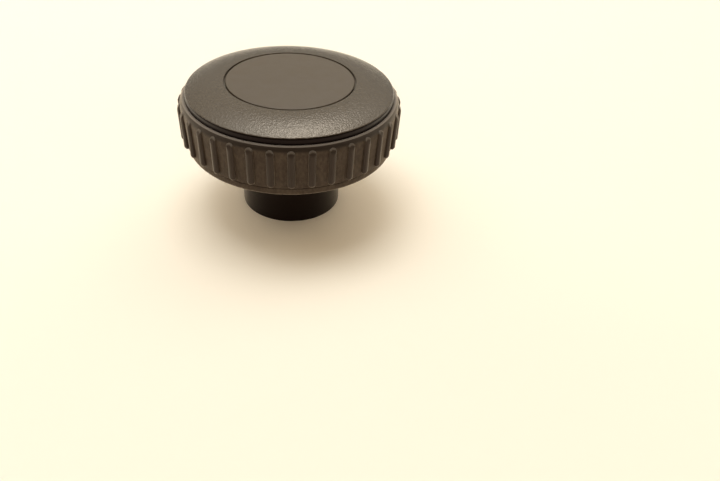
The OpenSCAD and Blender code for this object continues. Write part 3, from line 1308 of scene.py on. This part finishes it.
@dataclass(frozen=True)
class Bush:
    """The brass bush: knurled outside, threaded inside."""

    sizes: Measures
    thread_d: float = 10.0
    pitch: float = 1.5
    thread_l: float = 14.0
    mouth_edge: float = 0.25
    drill_point: float = 118.0
    collar_h: float = 2.5
    collar_d: float = 0.5
    knurl_n: int = 40
    knurl_depth: float = 0.3
    neck_w: float = 2.5
    neck_d: float = 0.9
    pilot_h: float = 0.6
    run_out_turns: int = 2
    steps: int = 130
    segments: int = 120
    sharp_angle: float = 25.0

    @property
    def core_r(self) -> float:
        """Radius of the drilled hole."""
        return (self.thread_d - self.pitch) / 2

    @property
    def mouth_r(self) -> float:
        """Radius of the chamfered mouth."""
        return self.thread_d / 2 + self.mouth_edge

    @property
    def drill_l(self) -> float:
        """Depth of the drilled hole without its point."""
        return self.mouth_r - self.core_r + self.thread_l

    def blank(self) -> list[Corner]:
        """Draw the half section of the plain core and its collar.

        Returns:
            The corners of the closed section.
        """
        m = self.sizes
        core = m.bush_r - self.neck_d
        collar = m.bush_r - self.collar_d
        return [
            Corner(0, 0),
            Corner(collar, 0, m.edge),
            Corner(collar, self.collar_h),
            Corner(core, self.collar_h),
            Corner(core, m.bush_l),
            Corner(0, m.bush_l),
        ]

    def band(self, shop: Workshop, low: float, high: float) -> bpy.types.Object:
        """Make one toothed band.

        Args:
            shop: The workshop.
            low: Height of its lower side.
            high: Height of its upper side.

        Returns:
            The band as a closed mesh.
        """
        m = self.sizes
        count = 2 * self.knurl_n
        radii = [m.bush_r, m.bush_r - self.knurl_depth]
        outline = [(radii[k % 2], math.tau * k / count) for k in range(count)]
        points = [(r * math.cos(a), r * math.sin(a), z) for z in (low, high) for r, a in outline]
        sides = [(k, (k + 1) % count, count + (k + 1) % count, count + k) for k in range(count)]
        ends = [tuple(range(count)), tuple(range(count, 2 * count))]
        return shop.facing_out(shop.piece("band", points, (), sides + ends))

    def tap(self, shop: Workshop, finish: bpy.types.Material) -> bpy.types.Object:
        """Make the threaded form that is cut out of the bush.

        Args:
            shop: The workshop.
            finish: Material of the cut.

        Returns:
            The form as a closed mesh.
        """
        obj = shop.piece("tap", [(0.0, 0.0, 0.0)])
        inputs = {
            "Segments": self.segments,
            "Steps": self.steps,
            "Pitch": self.pitch,
            "Length": self.drill_l,
            "Core": self.core_r,
            "Major": self.thread_d / 2,
            "Mouth": self.mouth_r,
            "Run Out": self.run_out_turns * self.pitch,
            "Finish": finish,
        }
        shop.grow(obj, shop.thread, inputs)
        work = bmesh.new()
        work.from_mesh(obj.data)
        rims = [e for e in work.edges if e.is_boundary]
        floor = [e for e in rims if e.verts[0].co.z < PAST]
        sunk = bmesh.ops.extrude_edge_only(work, edges=floor)["geom"]
        for vertex in (v for v in sunk if isinstance(v, bmesh.types.BMVert)):
            vertex.co.z -= PAST
        roof = [e for e in rims if e.verts[0].co.z > PAST]
        point = bmesh.ops.extrude_edge_only(work, edges=roof)["geom"]
        for vertex in (v for v in point if isinstance(v, bmesh.types.BMVert)):
            rise = self.core_r / math.tan(math.radians(self.drill_point / 2))
            vertex.co = (0, 0, self.drill_l + rise)
        bmesh.ops.remove_doubles(work, verts=work.verts, dist=MERGE)
        bmesh.ops.holes_fill(work, edges=[e for e in work.edges if e.is_boundary], sides=0)
        work.to_mesh(obj.data)
        work.free()
        return shop.facing_out(obj)

    def build(self, shop: Workshop) -> None:
        """Make the bush and put it in its solid's place.

        Args:
            shop: The workshop.
        """
        m = self.sizes
        finish = TurnedBrass().build()
        obj = shop.turned("brass_bush", self.blank(), finish)
        band_h = (m.bush_l - self.collar_h - self.neck_w - self.pilot_h) / 2
        for low in (self.collar_h, self.collar_h + band_h + self.neck_w):
            shop.worked(obj, self.band(shop, low, low + band_h), Join.ADD)
        shop.worked(obj, self.tap(shop, finish), Join.CUT)
        shop.finished(obj, "bush", self.sharp_angle)


@dataclass(frozen=True)
class CameraRig:
    """The camera, looking down on the knob from the front."""

    place: tuple[float, float, float] = (0.0, -147.11, 99.49)
    pitch: float = 37.64
    yaw: float = 6.88
    roll: float = -3.67
    lens: float = 35.7
    film: float = 36.0
    nearest: float = 0.01

    def build(self) -> None:
        """Make the camera and set it as the scene's own."""
        pitch, yaw, roll = (math.radians(a) for a in (self.pitch, self.yaw, self.roll))
        level = math.cos(pitch)
        ahead = Vector((math.sin(yaw) * level, math.cos(yaw) * level, -math.sin(pitch)))
        right = Vector((math.cos(yaw), -math.sin(yaw), 0))
        down = ahead.cross(right)
        side = math.cos(roll) * right + math.sin(roll) * down
        fall = -math.sin(roll) * right + math.cos(roll) * down
        turn = Matrix((side, -fall, -ahead)).transposed().to_4x4()
        data = bpy.data.cameras.new("camera")
        data.lens = self.lens
        data.sensor_width = self.film
        data.clip_start = self.nearest
        camera = bpy.data.objects.new("camera", data)
        camera.matrix_world = Matrix.Translation(Vector(self.place) * MM) @ turn
        bpy.context.scene.collection.objects.link(camera)
        bpy.context.scene.camera = camera


@dataclass(frozen=True)
class Lamp:
    """A rectangular lamp that faces the knob.

    Attributes:
        name: Name of the lamp.
        place: Where it hangs, in metres.
        sides: Its two sides, in metres.
        power: Its power, in watts.
        colour: Colour of its light.
        lights: Whether it lights dull surfaces too, or shows only in gloss.
    """

    name: str
    place: tuple[float, float, float]
    sides: tuple[float, float]
    power: float
    colour: Colour = (0.93, 0.965, 0.96)
    lights: bool = True

    def build(self) -> None:
        """Hang the lamp."""
        data = bpy.data.lights.new(self.name, "AREA")
        data.shape = "RECTANGLE"
        data.size, data.size_y = self.sides
        data.energy = self.power
        data.color = self.colour
        lamp = bpy.data.objects.new(self.name, data)
        lamp.location = self.place
        lamp.rotation_euler = (-Vector(self.place)).to_track_quat("-Z", "Y").to_euler()
        lamp.visible_diffuse = self.lights
        bpy.context.scene.collection.objects.link(lamp)


@dataclass(frozen=True)
class Studio:
    """White table, three lamps over and behind the knob, and a room that is bright low down."""

    lamps: tuple[Lamp, ...] = (
        Lamp("wide_lamp", place=(-0.10, 0.38, 0.78), sides=(1.9, 0.5), power=4.2),
        Lamp("top_lamp", place=(-0.10, 0.17, 0.93), sides=(0.62, 0.48), power=3.8),
        Lamp(
            "glint_lamp",
            place=(0.13, 0.26, 0.87),
            sides=(0.36, 0.32),
            power=3.3,
            colour=(1.0, 0.96, 0.88),
            lights=False,
        ),
    )
    floor_side: float = 3.0
    floor_seen: Colour = (1.0, 0.94, 0.83)
    floor_lit: Colour = (0.80, 0.77, 0.68)
    floor_glow: float = 0.02
    floor_rough: float = 0.9
    floor_gloss: float = 0.1
    backdrop: Colour = (1.0, 0.97, 0.87)
    sky: Colour = (1.0, 0.90, 0.72)
    horizon: Colour = (0.26, 0.30, 0.31)
    horizon_at: Span = (0.05, 0.45)
    room: Colour = (1.0, 0.81, 0.57)
    room_strength: float = 0.21
    back_strength: float = 6.5
    back_reach: Span = (0.2, 0.7)
    back_top: Span = (0.24, 0.42)
    side_strength: float = 1.4
    side_reach: Span = (0.45, 0.8)
    side_top: Span = (0.08, 0.24)
    front_strength: float = 0.8
    front_reach: Span = (-0.2, -0.7)
    front_top: Span = (0.5, 0.7)
    dark_side: float = 0.08
    dark_at: Span = (-0.75, 0.0)

    def build(self) -> None:
        """Make the table, the lamps and the world."""
        self.table()
        for lamp in self.lamps:
            lamp.build()
        self.world()
        bpy.context.scene.view_settings.view_transform = "Standard"

    def table(self) -> None:
        """Make the plain white table top, which reflections show as white as the camera does."""
        half = self.floor_side / 2
        mesh = bpy.data.meshes.new("table_top")
        corners = [(-half, -half, 0), (half, -half, 0), (half, half, 0), (-half, half, 0)]
        mesh.from_pydata(corners, [], [(0, 1, 2, 3)])
        obj = bpy.data.objects.new("table_top", mesh)
        bpy.context.scene.collection.objects.link(obj)
        g = ShaderGraph("white_table")
        path = g.add("ShaderNodeLightPath").outputs
        seen = g.math("MAXIMUM", path[Rays.CAMERA.value], path[Rays.GLOSSY.value])
        colour = g.tint(seen, self.floor_lit, self.floor_seen)
        glow = g.math("MULTIPLY", seen, self.floor_glow)
        white = {
            "Roughness": self.floor_rough,
            "Specular_IOR_Level": self.floor_gloss,
            "Emission_Color": self.floor_seen,
            "Emission_Strength": glow,
        }
        mesh.materials.append(g.surface(Base_Color=colour, **white))

    def world(self) -> None:
        """Make the world, of which each kind of ray sees its own part.

        Camera and transmission rays see the pale backdrop. Glossy rays see a sky that turns
        grey towards the horizon and dims on the camera's side. The others see the warm room
        that lights the scene.
        """
        world = bpy.data.worlds.new("room")
        world.use_nodes = True
        bpy.context.scene.world = world
        g = Graph(world.node_tree)
        path = g.add("ShaderNodeLightPath").outputs
        ahead = g.add("ShaderNodeTexCoord").outputs["Generated"]
        parts = g.add("ShaderNodeSeparateXYZ", {0: ahead}).outputs
        plain = g.math("MAXIMUM", path[Rays.CAMERA.value], path[Rays.TRANSMISSION.value])
        shade = g.ramp(parts["Y"], *self.dark_at, self.dark_side, 1.0)
        low = g.ramp(parts["Z"], *self.horizon_at, 1.0, 0.0)
        sky = self.light(g, g.tint(low, self.sky, self.horizon), shade)
        room = self.light(g, (*self.room, 1.0), self.room_glow(g, parts))
        pale = self.light(g, (*self.backdrop, 1.0), 1.0)
        lit = g.add("ShaderNodeMixShader", {0: path[Rays.GLOSSY.value], 1: room, 2: sky}).outputs[0]
        seen = g.add("ShaderNodeMixShader", {0: plain, 1: lit, 2: pale}).outputs[0]
        g.add("ShaderNodeOutputWorld", {"Surface": seen})

    def light(self, g: Graph, colour: Value, strength: Value) -> bpy.types.NodeSocket:
        """Return a background of one colour and strength."""
        return g.add("ShaderNodeBackground", {"Color": colour, "Strength": strength}).outputs[0]

    def room_glow(self, g: Graph, parts: bpy.types.bpy_prop_collection) -> bpy.types.NodeSocket:
        """Make the room bright low down behind, beside and before the knob.

        Args:
            g: The world's tree.
            parts: The three parts of the direction.

        Returns:
            The room's strength.
        """
        sideways = g.math("ABSOLUTE", parts["X"])
        glows = [
            (parts["Y"], self.back_reach, self.back_top, self.back_strength),
            (sideways, self.side_reach, self.side_top, self.side_strength),
            (parts["Y"], self.front_reach, self.front_top, self.front_strength),
        ]
        strength = self.room_strength
        for way, reach, top, power in glows:
            glow = g.math("MULTIPLY", g.ramp(way, *reach), g.ramp(parts["Z"], *top, power, 0.0))
            strength = g.math("ADD", strength, glow)
        return strength


def main() -> None:
    """Build the studio, the camera and each piece of the knob."""
    logging.basicConfig(level=logging.INFO, format="%(name)s: %(message)s")
    Studio().build()
    CameraRig().build()
    sizes = Measures.from_frame()
    LOG.info("sizes: %s", sizes)
    shop = Workshop()
    KnobBody(sizes).build(shop)
    GripRing(sizes).build(shop)
    CentreCap(sizes).build(shop)
    Bush(sizes).build(shop)


if __name__ == "__main__":
    main()
